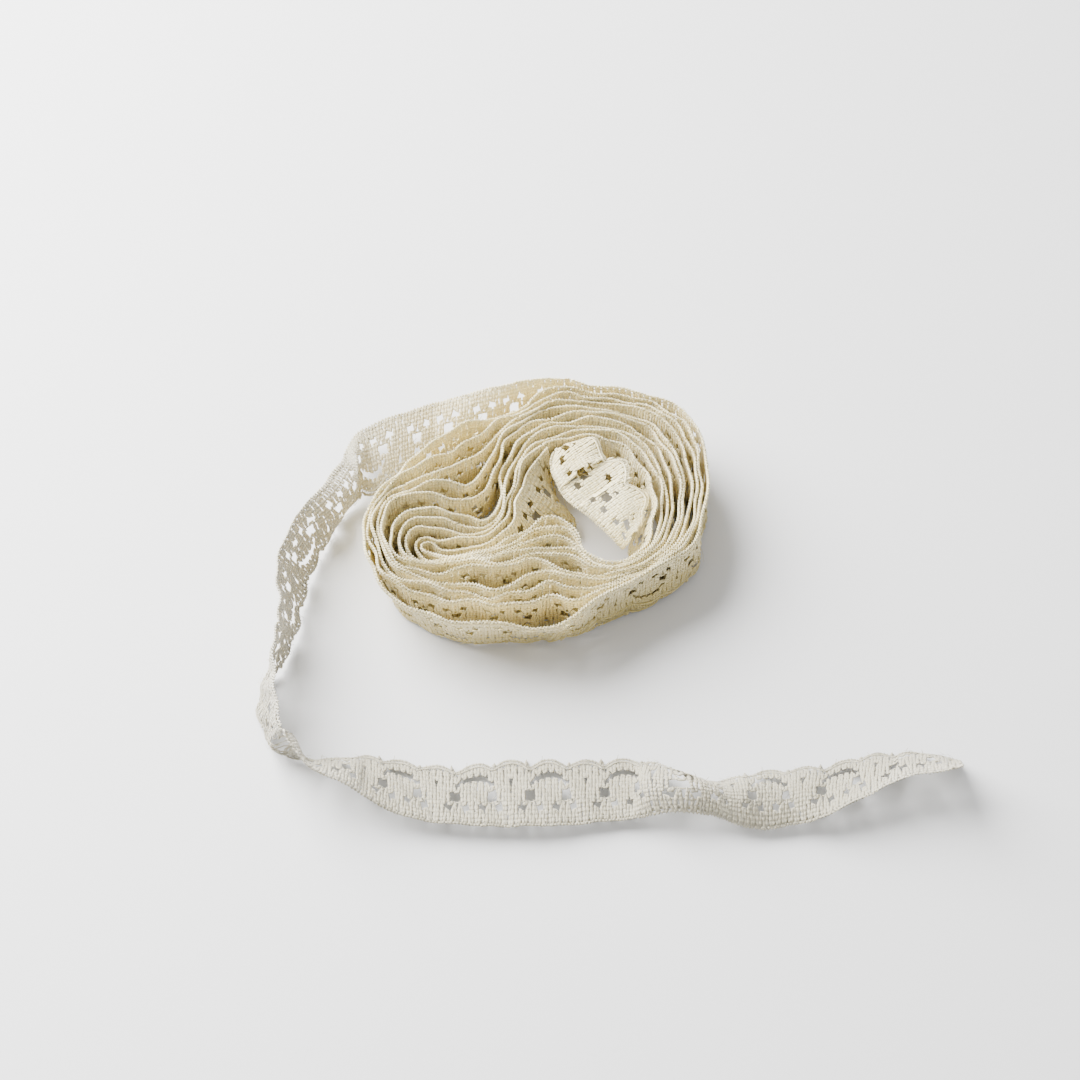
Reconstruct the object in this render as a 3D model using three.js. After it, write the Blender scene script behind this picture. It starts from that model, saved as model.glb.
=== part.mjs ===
// A roll of narrow lace trim, wound on edge and left lying loose.
//
// Millimetres, +Z up. The lace stands on its scalloped hem with its straight footing edge on top.
// The origin is on the flat base, under the neck where the two lobes of the winding meet.
// Looking along +Y, the loose end leaves the winding at the back, turns round its left side and
// crosses in front of it to the right.

import * as THREE from 'three';

// Driving sizes

const LACE_WIDTH = 14;        // from footing edge to scallop tip
const LACE_THICKNESS = 1;     // one layer, yarn and all
const WINDING_HEIGHT = 14;    // the lace stands on edge, so its width is the winding's height
const REPEAT = 13.5;          // length of one pattern repeat, two scallops
const SCALLOP_DEPTH = 1.3;    // from scallop tip to the valley beside it
const CREAM = 0xe9dfc4;

// The winding

const WINDING_SECTIONS = 128; // cross-sections round the whole winding
const FACING_STEP = 2.5;      // sections on either side that set which way a section faces
const TURN = 0.5;             // half of one turn's thickness with the air beside it
const LAST_TURN_POWER = 4;    // how quickly a lean dies away from the turn that has it
const SLOT_MIN = 0.5;         // depth of the groove between turns that touch
const SLOT_MAX = 11.5;        // depth of the slot between turns that stand well apart
const SLOT_RATE = 4;          // depth gained for each millimetre of gap
const SLOT_TAPER = 0.16;      // share of a slot's width lost to each sloping wall
const BELLY = 0.2;            // how far the outer wall swells at half height

// One row for each cross-section, counter-clockwise from the back seen from above.
// ix, iy: innermost turn. ox, oy: outermost turn. t4 to t8: where turns 4 to 8 of 0 to 9 stand, as
// a share of the way from inner to outer. sunk: how far the inner turns have slid down. flare: how
// far the outer turn's top leans out. foot: how far the inner turn's foot stands into the core.
const WINDING = [
  { at: 'back', ix: 10.5, iy: 25.4, ox: 11.5, oy: 40.4,
    t4: 0.44, t5: 0.56, t6: 0.67, t7: 0.78, t8: 0.89, sunk: 0, flare: 0, foot: 0 },
  { at: 'shoulder', ix: 7.5, iy: 23.0, ox: 5.1, oy: 35.5,
    t4: 0.46, t5: 0.66, t6: 0.75, t7: 0.84, t8: 0.93, sunk: 0, flare: 0, foot: 2 },
  { at: 'shoulder_end', ix: 5.6, iy: 18.5, ox: 0.7, oy: 33.6,
    t4: 0.38, t5: 0.60, t6: 0.70, t7: 0.80, t8: 0.90, sunk: 0, flare: 0, foot: 3.5 },
  { at: 'dip_start', ix: 4.3, iy: 12.7, ox: -3.5, oy: 32.1,
    t4: 0.33, t5: 0.43, t6: 0.57, t7: 0.71, t8: 0.86, sunk: 0, flare: 0, foot: 3 },
  { at: 'dip', ix: 2.8, iy: 7.4, ox: -7.1, oy: 30.4,
    t4: 0.20, t5: 0.42, t6: 0.56, t7: 0.71, t8: 0.86, sunk: 0, flare: 0, foot: 0 },
  { at: 'neck_back', ix: 0.1, iy: 4.8, ox: -10.1, oy: 28.5,
    t4: 0.20, t5: 0.38, t6: 0.53, t7: 0.69, t8: 0.86, sunk: 1, flare: 1, foot: 0 },
  { at: 'neck_mid', ix: -2.9, iy: 4.5, ox: -12.6, oy: 26.6,
    t4: 0.26, t5: 0.45, t6: 0.58, t7: 0.72, t8: 0.87, sunk: 2, flare: 1, foot: 0 },
  { at: 'neck_end', ix: -6.3, iy: 4.3, ox: -15.2, oy: 23.7,
    t4: 0.39, t5: 0.54, t6: 0.65, t7: 0.77, t8: 0.89, sunk: 3, flare: 2, foot: 0 },
  { at: 'lobe_back', ix: -9.0, iy: 5.4, ox: -17.7, oy: 20.2,
    t4: 0.46, t5: 0.66, t6: 0.74, t7: 0.83, t8: 0.92, sunk: 4, flare: 3, foot: 0 },
  { at: 'lobe_corner', ix: -11.1, iy: 6.6, ox: -21.0, oy: 16.4,
    t4: 0.53, t5: 0.77, t6: 0.82, t7: 0.88, t8: 0.94, sunk: 4, flare: 3.5, foot: 0 },
  { at: 'lobe_left', ix: -12.9, iy: 6.2, ox: -24.0, oy: 9.9,
    t4: 0.52, t5: 0.72, t6: 0.78, t7: 0.85, t8: 0.92, sunk: 4, flare: 4, foot: 0 },
  { at: 'lobe_front_left', ix: -13.0, iy: 5.0, ox: -23.5, oy: 2.2,
    t4: 0.54, t5: 0.64, t6: 0.71, t7: 0.79, t8: 0.88, sunk: 4, flare: 4.5, foot: 0 },
  { at: 'lobe_front', ix: -11.4, iy: 3.7, ox: -21.0, oy: -4.8,
    t4: 0.47, t5: 0.56, t6: 0.66, t7: 0.76, t8: 0.86, sunk: 4, flare: 4.5, foot: 0 },
  { at: 'front_left', ix: -8.7, iy: 2.4, ox: -15.9, oy: -10.1,
    t4: 0.16, t5: 0.40, t6: 0.51, t7: 0.63, t8: 0.75, sunk: 3, flare: 4.5, foot: 0 },
  { at: 'front_1', ix: -5.9, iy: 2.0, ox: -10.0, oy: -12.8,
    t4: 0.10, t5: 0.40, t6: 0.49, t7: 0.60, t8: 0.72, sunk: 2, flare: 4.5, foot: 0 },
  { at: 'front_2', ix: -2.9, iy: 2.2, ox: -4.5, oy: -14.3,
    t4: 0.10, t5: 0.41, t6: 0.47, t7: 0.57, t8: 0.71, sunk: 1, flare: 4.5, foot: 0 },
  { at: 'front_3', ix: 0.1, iy: 2.8, ox: 0.4, oy: -14.5,
    t4: 0.26, t5: 0.46, t6: 0.56, t7: 0.66, t8: 0.75, sunk: 0, flare: 4.5, foot: 0 },
  { at: 'front_4', ix: 3.0, iy: 4.7, ox: 4.4, oy: -14.8,
    t4: 0.26, t5: 0.43, t6: 0.53, t7: 0.63, t8: 0.75, sunk: 0, flare: 5.2, foot: 0 },
  { at: 'hump_start', ix: 6.0, iy: 6.7, ox: 8.3, oy: -15.0,
    t4: 0.27, t5: 0.36, t6: 0.47, t7: 0.63, t8: 0.73, sunk: 0, flare: 5.8, foot: 0 },
  { at: 'hump_top', ix: 9.4, iy: 9.0, ox: 11.9, oy: -14.8,
    t4: 0.33, t5: 0.42, t6: 0.47, t7: 0.61, t8: 0.73, sunk: 0, flare: 5.6, foot: 0 },
  { at: 'hump_end', ix: 12.7, iy: 9.0, ox: 15.0, oy: -12.9,
    t4: 0.38, t5: 0.51, t6: 0.57, t7: 0.70, t8: 0.80, sunk: 0, flare: 3.8, foot: 0 },
  { at: 'hump_foot', ix: 15.3, iy: 6.5, ox: 18.1, oy: -10.4,
    t4: 0.39, t5: 0.56, t6: 0.65, t7: 0.77, t8: 0.88, sunk: 0, flare: 2.2, foot: 0 },
  { at: 'front_right_1', ix: 17.5, iy: 2.4, ox: 21.8, oy: -7.4,
    t4: 0.42, t5: 0.62, t6: 0.71, t7: 0.81, t8: 0.91, sunk: 0, flare: 1, foot: 0 },
  { at: 'front_right_2', ix: 21.0, iy: -0.8, ox: 26.3, oy: -4.3,
    t4: 0.43, t5: 0.58, t6: 0.68, t7: 0.79, t8: 0.90, sunk: 0, flare: 0.5, foot: 0 },
  { at: 'right_front', ix: 25.3, iy: -0.1, ox: 31.9, oy: -1.0,
    t4: 0.44, t5: 0.56, t6: 0.67, t7: 0.78, t8: 0.89, sunk: 0, flare: 0, foot: 0 },
  { at: 'right_corner', ix: 28.9, iy: 3.7, ox: 36.9, oy: 3.3,
    t4: 0.44, t5: 0.56, t6: 0.67, t7: 0.78, t8: 0.89, sunk: 0, flare: 0, foot: 0 },
  { at: 'right', ix: 30.7, iy: 10.1, ox: 40.0, oy: 11.5,
    t4: 0.44, t5: 0.56, t6: 0.67, t7: 0.78, t8: 0.89, sunk: 0, flare: 0, foot: 0 },
  { at: 'right_back', ix: 30.5, iy: 16.6, ox: 40.7, oy: 22.1,
    t4: 0.44, t5: 0.56, t6: 0.67, t7: 0.78, t8: 0.89, sunk: 0, flare: 0, foot: 0 },
  { at: 'back_right_1', ix: 27.8, iy: 22.5, ox: 39.1, oy: 30.7,
    t4: 0.44, t5: 0.56, t6: 0.67, t7: 0.78, t8: 0.89, sunk: 0, flare: 0, foot: 0 },
  { at: 'back_right_2', ix: 24.5, iy: 26.8, ox: 34.1, oy: 37.0,
    t4: 0.44, t5: 0.56, t6: 0.67, t7: 0.78, t8: 0.89, sunk: 0, flare: 0, foot: 0 },
  { at: 'back_1', ix: 20.5, iy: 28.7, ox: 26.5, oy: 39.9,
    t4: 0.44, t5: 0.56, t6: 0.67, t7: 0.78, t8: 0.89, sunk: 0, flare: 0, foot: 0 },
  { at: 'back_2', ix: 15.5, iy: 28.7, ox: 18.7, oy: 41.0,
    t4: 0.44, t5: 0.56, t6: 0.67, t7: 0.78, t8: 0.89, sunk: 0, flare: 0, foot: 0 },
];

// The sheets: the loose end outside the winding, and the short end folded over its core

const ROWS_ACROSS = [0, 0.25, 0.5]; // shares of the width below the arched gap
const COLUMNS_PER_REPEAT = 10;      // steps along the lace in one repeat
const GAP_COLUMNS = 4;              // steps that the arched gap spans
const GAP_LOW = 0.68;               // the gap's lower edge, as a share of the width
const GAP_HIGH = 0.78;              // its upper edge
const GAP_ARCH = 0.07;              // how much higher the gap is at its middle than at its ends
const SLACK_FROM = 0.93;            // the cloth bulges where its edges are closer than this share
const LOOSE_BULGE = 4;              // most that the loose end bulges
const FOLDED_BULGE = 1.2;           // most that the short end bulges
const FIRST_GAP = 1;                // step of the loose end on which the arched gaps are counted from

// One row for each cross-section of the loose end, from the winding to the cut end.
// fx, fy, fz: the footing edge. hx, hy, hz: the hem.
const LOOSE_END = [
  { at: 'leaving', fx: 15.0, fy: 42.6, fz: 14.0, hx: 15.0, hy: 42.7, hz: 0.2 },
  { at: 'back_1', fx: 10.0, fy: 42.9, fz: 13.8, hx: 10.0, hy: 42.2, hz: 0.2 },
  { at: 'back_2', fx: 4.5, fy: 42.8, fz: 12.8, hx: 4.0, hy: 38.7, hz: 0.4 },
  { at: 'back_3', fx: -1.5, fy: 42.3, fz: 11.4, hx: -2.0, hy: 35.4, hz: 0.6 },
  { at: 'back_4', fx: -7.6, fy: 41.7, fz: 9.2, hx: -8.0, hy: 32.6, hz: 0.6 },
  { at: 'back_5', fx: -13.6, fy: 41.1, fz: 7.0, hx: -13.8, hy: 29.4, hz: 0.6 },
  { at: 'back_6', fx: -21.4, fy: 38.9, fz: 4.5, hx: -20.2, hy: 26.2, hz: 0.6 },
  { at: 'back_7', fx: -26.9, fy: 36.0, fz: 3.0, hx: -24.2, hy: 23.8, hz: 0.6 },
  { at: 'twist_1', fx: -29.7, fy: 31.0, fz: 4.0, hx: -27.9, hy: 21.4, hz: 0.6 },
  { at: 'twist_2', fx: -31.4, fy: 23.5, fz: 8.5, hx: -30.0, hy: 18.9, hz: 0.6 },
  { at: 'twist_3', fx: -33.6, fy: 16.6, fz: 12.0, hx: -31.4, hy: 15.1, hz: 0.6 },
  { at: 'left_1', fx: -36.6, fy: 10.7, fz: 13.2, hx: -32.8, hy: 10.4, hz: 0.6 },
  { at: 'left_2', fx: -39.2, fy: 3.4, fz: 13.5, hx: -35.0, hy: 3.4, hz: 0.6 },
  { at: 'left_3', fx: -39.7, fy: -3.8, fz: 13.5, hx: -36.0, hy: -4.1, hz: 0.6 },
  { at: 'left_4', fx: -38.7, fy: -8.6, fz: 13.7, hx: -36.9, hy: -8.8, hz: 0.6 },
  { at: 'upright', fx: -38.8, fy: -14.7, fz: 14.0, hx: -39.2, hy: -15.2, hz: 0.6 },
  { at: 'lean_in_1', fx: -39.3, fy: -19.2, fz: 13.9, hx: -42.2, hy: -19.6, hz: 0.6 },
  { at: 'lean_in_2', fx: -38.9, fy: -23.9, fz: 13.7, hx: -43.2, hy: -24.0, hz: 0.6 },
  { at: 'lean_in_3', fx: -38.3, fy: -29.2, fz: 13.5, hx: -41.6, hy: -29.6, hz: 0.6 },
  { at: 'lean_in_4', fx: -37.3, fy: -34.0, fz: 13.0, hx: -38.8, hy: -33.6, hz: 0.6 },
  { at: 'corner_1', fx: -35.6, fy: -38.3, fz: 12.6, hx: -36.2, hy: -35.0, hz: 0.6 },
  { at: 'corner_2', fx: -33.0, fy: -41.9, fz: 11.8, hx: -33.6, hy: -35.4, hz: 0.6 },
  { at: 'corner_3', fx: -29.0, fy: -43.9, fz: 10.0, hx: -29.8, hy: -35.0, hz: 0.6 },
  { at: 'falling_1', fx: -24.5, fy: -45.4, fz: 7.4, hx: -24.8, hy: -34.5, hz: 0.6 },
  { at: 'falling_2', fx: -19.4, fy: -47.5, fz: 4.6, hx: -19.7, hy: -34.5, hz: 0.6 },
  { at: 'falling_3', fx: -14.0, fy: -48.9, fz: 3.1, hx: -14.4, hy: -35.5, hz: 0.6 },
  { at: 'flat_1', fx: -6.0, fy: -49.7, fz: 2.3, hx: -6.3, hy: -36.5, hz: 0.6 },
  { at: 'flat_2', fx: 1.5, fy: -49.5, fz: 1.0, hx: 1.2, hy: -35.4, hz: 0.6 },
  { at: 'flat_3', fx: 9.2, fy: -49.2, fz: 0.6, hx: 9.2, hy: -35.1, hz: 0.6 },
  { at: 'flat_4', fx: 18.5, fy: -48.4, fz: 0.6, hx: 18.6, hy: -35.1, hz: 0.6 },
  { at: 'rise', fx: 26.5, fy: -47.9, fz: 1.3, hx: 26.6, hy: -35.0, hz: 0.9 },
  { at: 'pleat_1', fx: 31.1, fy: -47.5, fz: 2.6, hx: 30.6, hy: -37.0, hz: 2.6 },
  { at: 'pleat_2', fx: 34.4, fy: -47.9, fz: 3.3, hx: 33.4, hy: -38.8, hz: 3.0 },
  { at: 'pleat_3', fx: 38.0, fy: -48.1, fz: 2.6, hx: 36.6, hy: -40.0, hz: 1.8 },
  { at: 'pleat_4', fx: 41.4, fy: -48.5, fz: 1.2, hx: 40.6, hy: -39.9, hz: 0.8 },
  { at: 'flat_5', fx: 48.0, fy: -49.6, fz: 0.6, hx: 48.4, hy: -37.6, hz: 0.6 },
  { at: 'flat_6', fx: 54.0, fy: -49.2, fz: 1.0, hx: 54.8, hy: -36.9, hz: 0.6 },
  { at: 'lift_1', fx: 60.4, fy: -48.7, fz: 3.6, hx: 61.6, hy: -36.0, hz: 0.6 },
  { at: 'lift_2', fx: 66.8, fy: -46.4, fz: 5.9, hx: 68.8, hy: -34.0, hz: 0.6 },
  { at: 'lift_3', fx: 74.2, fy: -43.8, fz: 8.4, hx: 75.8, hy: -33.7, hz: 0.6 },
  { at: 'end', fx: 83.8, fy: -42.8, fz: 11.2, hx: 85.0, hy: -35.0, hz: 0.6 },
];

// The same columns for the short inner end, from the back wall of the core to its cut end.
const FOLDED_END = [
  { at: 'wall', fx: 11.1, fy: 20.2, fz: 13.6, hx: 17.0, hy: 27.2, hz: 13.4 },
  { at: 'fall_1', fx: 12.2, fy: 17.2, fz: 13.3, hx: 21.0, hy: 25.2, hz: 13.8 },
  { at: 'fall_2', fx: 13.9, fy: 14.1, fz: 12.8, hx: 24.8, hy: 21.8, hz: 13.6 },
  { at: 'middle', fx: 17.3, fy: 11.6, fz: 12.0, hx: 27.2, hy: 18.0, hz: 13.2 },
  { at: 'low', fx: 20.8, fy: 8.6, fz: 10.8, hx: 28.6, hy: 14.6, hz: 12.6 },
  { at: 'end', fx: 24.6, fy: 5.2, fz: 9.2, hx: 28.6, hy: 10.2, hz: 11.4 },
];

// A smooth open or closed curve through one point of each row.
function curveThrough(rows, xKey, yKey, zKey, closed) {
  const points = rows.map((row) => new THREE.Vector3(row[xKey], row[yKey], zKey ? row[zKey] : 0));
  return new THREE.CatmullRomCurve3(points, closed, 'centripetal');
}

// A named value between the rows of a closed table, eased from row to row.
function between(rows, key, share) {
  const place = share * rows.length;
  const index = Math.floor(place) % rows.length;
  const next = (index + 1) % rows.length;
  return THREE.MathUtils.lerp(rows[index][key], rows[next][key], place - Math.floor(place));
}

// The horizontal direction to the right of a closed curve's run, which is away from its middle.
function outwardOf(curve, share) {
  const step = FACING_STEP / WINDING_SECTIONS;
  const ahead = curve.getPoint((share + step) % 1);
  const behind = curve.getPoint((share - step + 1) % 1);
  const run = ahead.sub(behind).normalize();
  return new THREE.Vector3(run.y, -run.x, 0);
}

// Groups of turns that stay together, and the slots between them, as shares of the bundle's width.
function groupsOfTurns(t4, t5, t6, t7, t8) {
  return [
    { from: 0, to: t4 * 0.3 },
    { from: t4 * 0.45, to: t4 },
    { from: t5, to: t6 },
    { from: t7, to: t8 },
    { from: 1, to: 1 },
  ];
}

// The closed outline of one cross-section, as points in space: up the inner wall, over the turns
// and the slots between their groups, and down the outer wall.
function windingSection(inner, outer, share) {
  const start = inner.getPoint(share);
  const end = outer.getPoint(share);
  const width = start.distanceTo(end);
  const along = end.clone().sub(start).normalize();
  const outward = outwardOf(outer, share);
  const intoCore = outwardOf(inner, share).negate();
  const value = (key) => between(WINDING, key, share);
  const sunk = value('sunk');
  const flare = value('flare');
  const foot = value('foot');
  const groups = groupsOfTurns(value('t4'), value('t5'), value('t6'), value('t7'), value('t8'));

  const point = (place, drop) => {
    const fraction = THREE.MathUtils.clamp(place / width, 0, 1);
    const top = WINDING_HEIGHT - sunk * (1 - THREE.MathUtils.smoothstep(fraction, 0, value('t5')));
    const low = Math.min(drop, top) / top;
    const lean = -flare * fraction ** LAST_TURN_POWER * low;
    const step = foot * (1 - fraction) ** LAST_TURN_POWER * low;
    return start.clone()
      .addScaledVector(along, place)
      .addScaledVector(outward, lean)
      .addScaledVector(intoCore, step)
      .setZ(Math.max(top - drop, 0));
  };

  const outline = [point(-TURN, WINDING_HEIGHT), point(-TURN, 0)];
  groups.forEach((group, index) => {
    const next = groups[index + 1];
    const edge = group.to * width + TURN;
    if (!next) {
      outline.push(point(edge, 0));
      return;
    }
    const gap = Math.max((next.from - group.to) * width - 2 * TURN, 0.12);
    const middle = (group.to + next.from) * width / 2;
    const depth = THREE.MathUtils.clamp(gap * SLOT_RATE - SLOT_MIN, SLOT_MIN, SLOT_MAX);
    const narrow = gap * SLOT_TAPER;
    outline.push(point(middle - gap / 2, 0));
    outline.push(point(middle - gap / 2 + narrow, depth));
    outline.push(point(middle + gap / 2 - narrow, depth));
    outline.push(point(middle + gap / 2, 0));
  });
  outline.push(point(width + TURN + BELLY, WINDING_HEIGHT / 2));
  outline.push(point(width + TURN, WINDING_HEIGHT));
  return outline;
}

// Joins triangles given as point lists into one geometry.
function geometryOf(points, triangles) {
  const geometry = new THREE.BufferGeometry();
  const places = points.flatMap((p) => p.toArray());
  geometry.setAttribute('position', new THREE.Float32BufferAttribute(places, 3));
  geometry.setIndex(triangles.flat());
  return geometry;
}

// The wound turns as one ring-shaped solid.
function windingGeometry() {
  const inner = curveThrough(WINDING, 'ix', 'iy', null, true);
  const outer = curveThrough(WINDING, 'ox', 'oy', null, true);
  const sections = [];
  for (let index = 0; index < WINDING_SECTIONS; index += 1) {
    sections.push(windingSection(inner, outer, index / WINDING_SECTIONS));
  }
  const count = sections[0].length;
  const triangles = [];
  for (let index = 0; index < WINDING_SECTIONS; index += 1) {
    const here = index * count;
    const there = ((index + 1) % WINDING_SECTIONS) * count;
    for (let corner = 0; corner < count; corner += 1) {
      const beside = (corner + 1) % count;
      triangles.push([here + corner, there + beside, there + corner]);
      triangles.push([here + corner, here + beside, there + beside]);
    }
  }
  return geometryOf(sections.flat(), triangles);
}

// How far the hem is drawn back from the scallop tips, at a place in the repeat.
function hemDrawIn(phase) {
  return SCALLOP_DEPTH * (1 - Math.abs(Math.cos(2 * Math.PI * phase)) ** 0.8);
}

// Shares of the width at which the sheet's rows lie, at a place in the repeat.
function rowShares(phase) {
  const arch = GAP_ARCH * Math.cos(2 * Math.PI * phase);
  return [...ROWS_ACROSS, GAP_LOW + arch, GAP_HIGH + arch, 1 - hemDrawIn(phase) / LACE_WIDTH];
}

// A point across the lace. Where its two edges are closer than the lace is wide, the middle bulges.
function across(footing, hem, share, bulge, mostBulge) {
  const straight = footing.distanceTo(hem);
  const slack = Math.max(SLACK_FROM * LACE_WIDTH / straight - 1, 0);
  const rise = Math.min(straight * Math.sqrt(0.375 * slack), mostBulge);
  const point = footing.clone().lerp(hem, share);
  return point.addScaledVector(bulge, 4 * rise * share * (1 - share));
}

// The middle surface of a strip of lace as columns of points, one column for each step along it.
function laceColumns(rows, firstGap, mostBulge) {
  const footing = curveThrough(rows, 'fx', 'fy', 'fz', false);
  const hem = curveThrough(rows, 'hx', 'hy', 'hz', false);
  const samples = rows.length * 20;
  const run = [0];
  const middle = (share) => footing.getPoint(share).lerp(hem.getPoint(share), 0.5);
  for (let index = 1; index <= samples; index += 1) {
    run.push(run[index - 1] + middle(index / samples).distanceTo(middle((index - 1) / samples)));
  }
  const length = run[samples];
  const count = Math.round(length / REPEAT * COLUMNS_PER_REPEAT);
  const columns = [];
  let sample = 0;
  for (let column = 0; column <= count; column += 1) {
    const distance = length * column / count;
    while (sample < samples - 1 && run[sample + 1] < distance) sample += 1;
    const rest = (distance - run[sample]) / (run[sample + 1] - run[sample]);
    const share = Math.min((sample + rest) / samples, 1);
    const top = footing.getPoint(share);
    const low = hem.getPoint(share);
    const tangent = footing.getTangent(share).add(hem.getTangent(share)).normalize();
    const normal = tangent.cross(top.clone().sub(low)).normalize();
    const upward = normal.z < 0 ? normal.negate() : normal;
    const phase = (column - firstGap) / COLUMNS_PER_REPEAT;
    columns.push(rowShares(phase).map((place) => across(top, low, place, upward, mostBulge)));
  }
  return columns;
}

// True for a cell of the sheet that lies in an arched gap.
function isGap(column, row, lastColumn) {
  const place = column - FIRST_GAP + GAP_COLUMNS / 2;
  const insideStrip = column > GAP_COLUMNS && column < lastColumn - 1;
  return insideStrip && row === ROWS_ACROSS.length && place % COLUMNS_PER_REPEAT < GAP_COLUMNS;
}

// A sheet of even thickness on a grid of middle points, with the gaps left out as through holes.
function sheetGeometry(columns, isGapCell) {
  const rows = columns[0].length;
  const last = columns.length - 1;
  const points = [];
  const index = (side, column, row) => (side * columns.length + column) * rows + row;
  const normalAt = (column, row) => {
    const ahead = columns[Math.min(column + 1, last)][row].clone();
    const along = ahead.sub(columns[Math.max(column - 1, 0)][row]);
    const above = columns[column][Math.min(row + 1, rows - 1)].clone();
    const cross = above.sub(columns[column][Math.max(row - 1, 0)]);
    return along.cross(cross).normalize();
  };
  [1, -1].forEach((side) => {
    columns.forEach((column, c) => column.forEach((middle, r) => {
      const point = middle.clone().addScaledVector(normalAt(c, r), side * LACE_THICKNESS / 2);
      points.push(point.setZ(Math.max(point.z, 0)));
    }));
  });
  const solid = (c, r) => c >= 0 && c < last && r >= 0 && r < rows - 1 && !isGapCell(c, r, last);
  const triangles = [];
  const quad = (a, b, c, d) => triangles.push([a, b, c], [a, c, d]);
  const wall = (c1, r1, c2, r2) =>
    quad(index(0, c2, r2), index(0, c1, r1), index(1, c1, r1), index(1, c2, r2));
  for (let c = 0; c < last; c += 1) {
    for (let r = 0; r < rows - 1; r += 1) {
      if (!solid(c, r)) continue;
      quad(index(0, c, r), index(0, c + 1, r), index(0, c + 1, r + 1), index(0, c, r + 1));
      quad(index(1, c, r), index(1, c, r + 1), index(1, c + 1, r + 1), index(1, c + 1, r));
      if (!solid(c, r - 1)) wall(c, r, c + 1, r);
      if (!solid(c + 1, r)) wall(c + 1, r, c + 1, r + 1);
      if (!solid(c, r + 1)) wall(c + 1, r + 1, c, r + 1);
      if (!solid(c - 1, r)) wall(c, r + 1, c, r);
    }
  }
  return geometryOf(points, triangles);
}

function laceMaterial() {
  return new THREE.MeshStandardMaterial({ color: CREAM, roughness: 0.85, metalness: 0 });
}

function laceMesh(name, geometry) {
  const mesh = new THREE.Mesh(geometry, laceMaterial());
  mesh.name = name;
  return mesh;
}

const looseColumns = laceColumns(LOOSE_END, FIRST_GAP, LOOSE_BULGE);
const foldedColumns = laceColumns(FOLDED_END, 0, FOLDED_BULGE);

const roll = new THREE.Group();
roll.add(laceMesh('wound_lace', windingGeometry()));
roll.add(laceMesh('loose_end', sheetGeometry(looseColumns, isGap)));
roll.add(laceMesh('folded_inner_end', sheetGeometry(foldedColumns, () => false)));

export default roll;
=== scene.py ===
# %% [markdown]
# # A roll of narrow lace trim
#
# The real thing is one strip of cream lace, 14 mm wide. It is wound on edge about ten times, and
# its loose end curls round the left side and along the front. Every stitch of it is yarn, so the
# lace here is yarn too: one pattern repeat is drawn flat, as curves, and Geometry Nodes copies it
# along the strip and bends it to the strip's shape. The flat drawing could have been an image on
# a plain band, but holes and loops made of real yarn also cast shadows and show from the side.
#
# The lace is worked out in millimetres. Every Blender object is in metres, as the frame is.

# %% Load the solid model as the frame
import math

import bpy
import mathutils
import numpy as np
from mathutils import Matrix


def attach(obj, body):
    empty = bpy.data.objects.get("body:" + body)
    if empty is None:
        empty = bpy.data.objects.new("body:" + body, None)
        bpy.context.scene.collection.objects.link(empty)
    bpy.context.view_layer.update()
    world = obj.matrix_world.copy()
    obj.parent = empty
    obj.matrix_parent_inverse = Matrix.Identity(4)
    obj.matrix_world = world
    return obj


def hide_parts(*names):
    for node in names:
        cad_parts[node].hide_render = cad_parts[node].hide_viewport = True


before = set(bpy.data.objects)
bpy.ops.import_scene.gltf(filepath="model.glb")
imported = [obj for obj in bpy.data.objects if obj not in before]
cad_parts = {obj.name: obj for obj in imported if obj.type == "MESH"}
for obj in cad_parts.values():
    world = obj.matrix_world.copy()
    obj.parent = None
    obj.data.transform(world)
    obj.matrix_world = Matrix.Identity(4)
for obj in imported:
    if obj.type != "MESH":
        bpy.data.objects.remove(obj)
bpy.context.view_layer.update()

# %% [markdown]
# ## Sizes
#
# A few measures rule the whole object: how wide the lace is, how long one repeat of its pattern
# is, how deep its scallops are, how many fine ribs cross it in one repeat, and how thick its yarn
# is. They are named once here, so that each can be changed in one place. The folded inner end has
# a closer, finer face than the rest, so it gets more ribs, of thinner yarn. The last value only
# keeps a division from meeting zero.

# %% Sizes
MM = 0.001
LACE_WIDTH = 14.0
REPEAT = 13.5
SCALLOP_DEPTH = 1.9
RIBS, FINE_RIBS = 22, 30
YARN_RADIUS, FINE_YARN_RADIUS = 0.26, 0.195
TINY = 1e-6
print("a rib every", round(REPEAT / RIBS, 3), "mm")

# %% [markdown]
# ## Where the strip runs
#
# The real strip is wound on edge round an open core, and has slumped into two lobes. It could be
# drawn as one long spiral of points, but ten turns make a list that nobody can read or correct.
# So the winding is given by sections round it, a row for each, with these columns:
#
# - ix, iy and ox, oy: where the top edge of the innermost and of the outermost turn stands,
# - t4 to t8: how far out turns 4 to 8 stand between those two, as a share of the way,
# - sunk: how far the top edge of the inner turns has sunk,
# - flare: how far the outermost turn leans outwards from its foot to its top,
# - foot: how far the innermost turn's foot reaches into the core.

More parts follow.
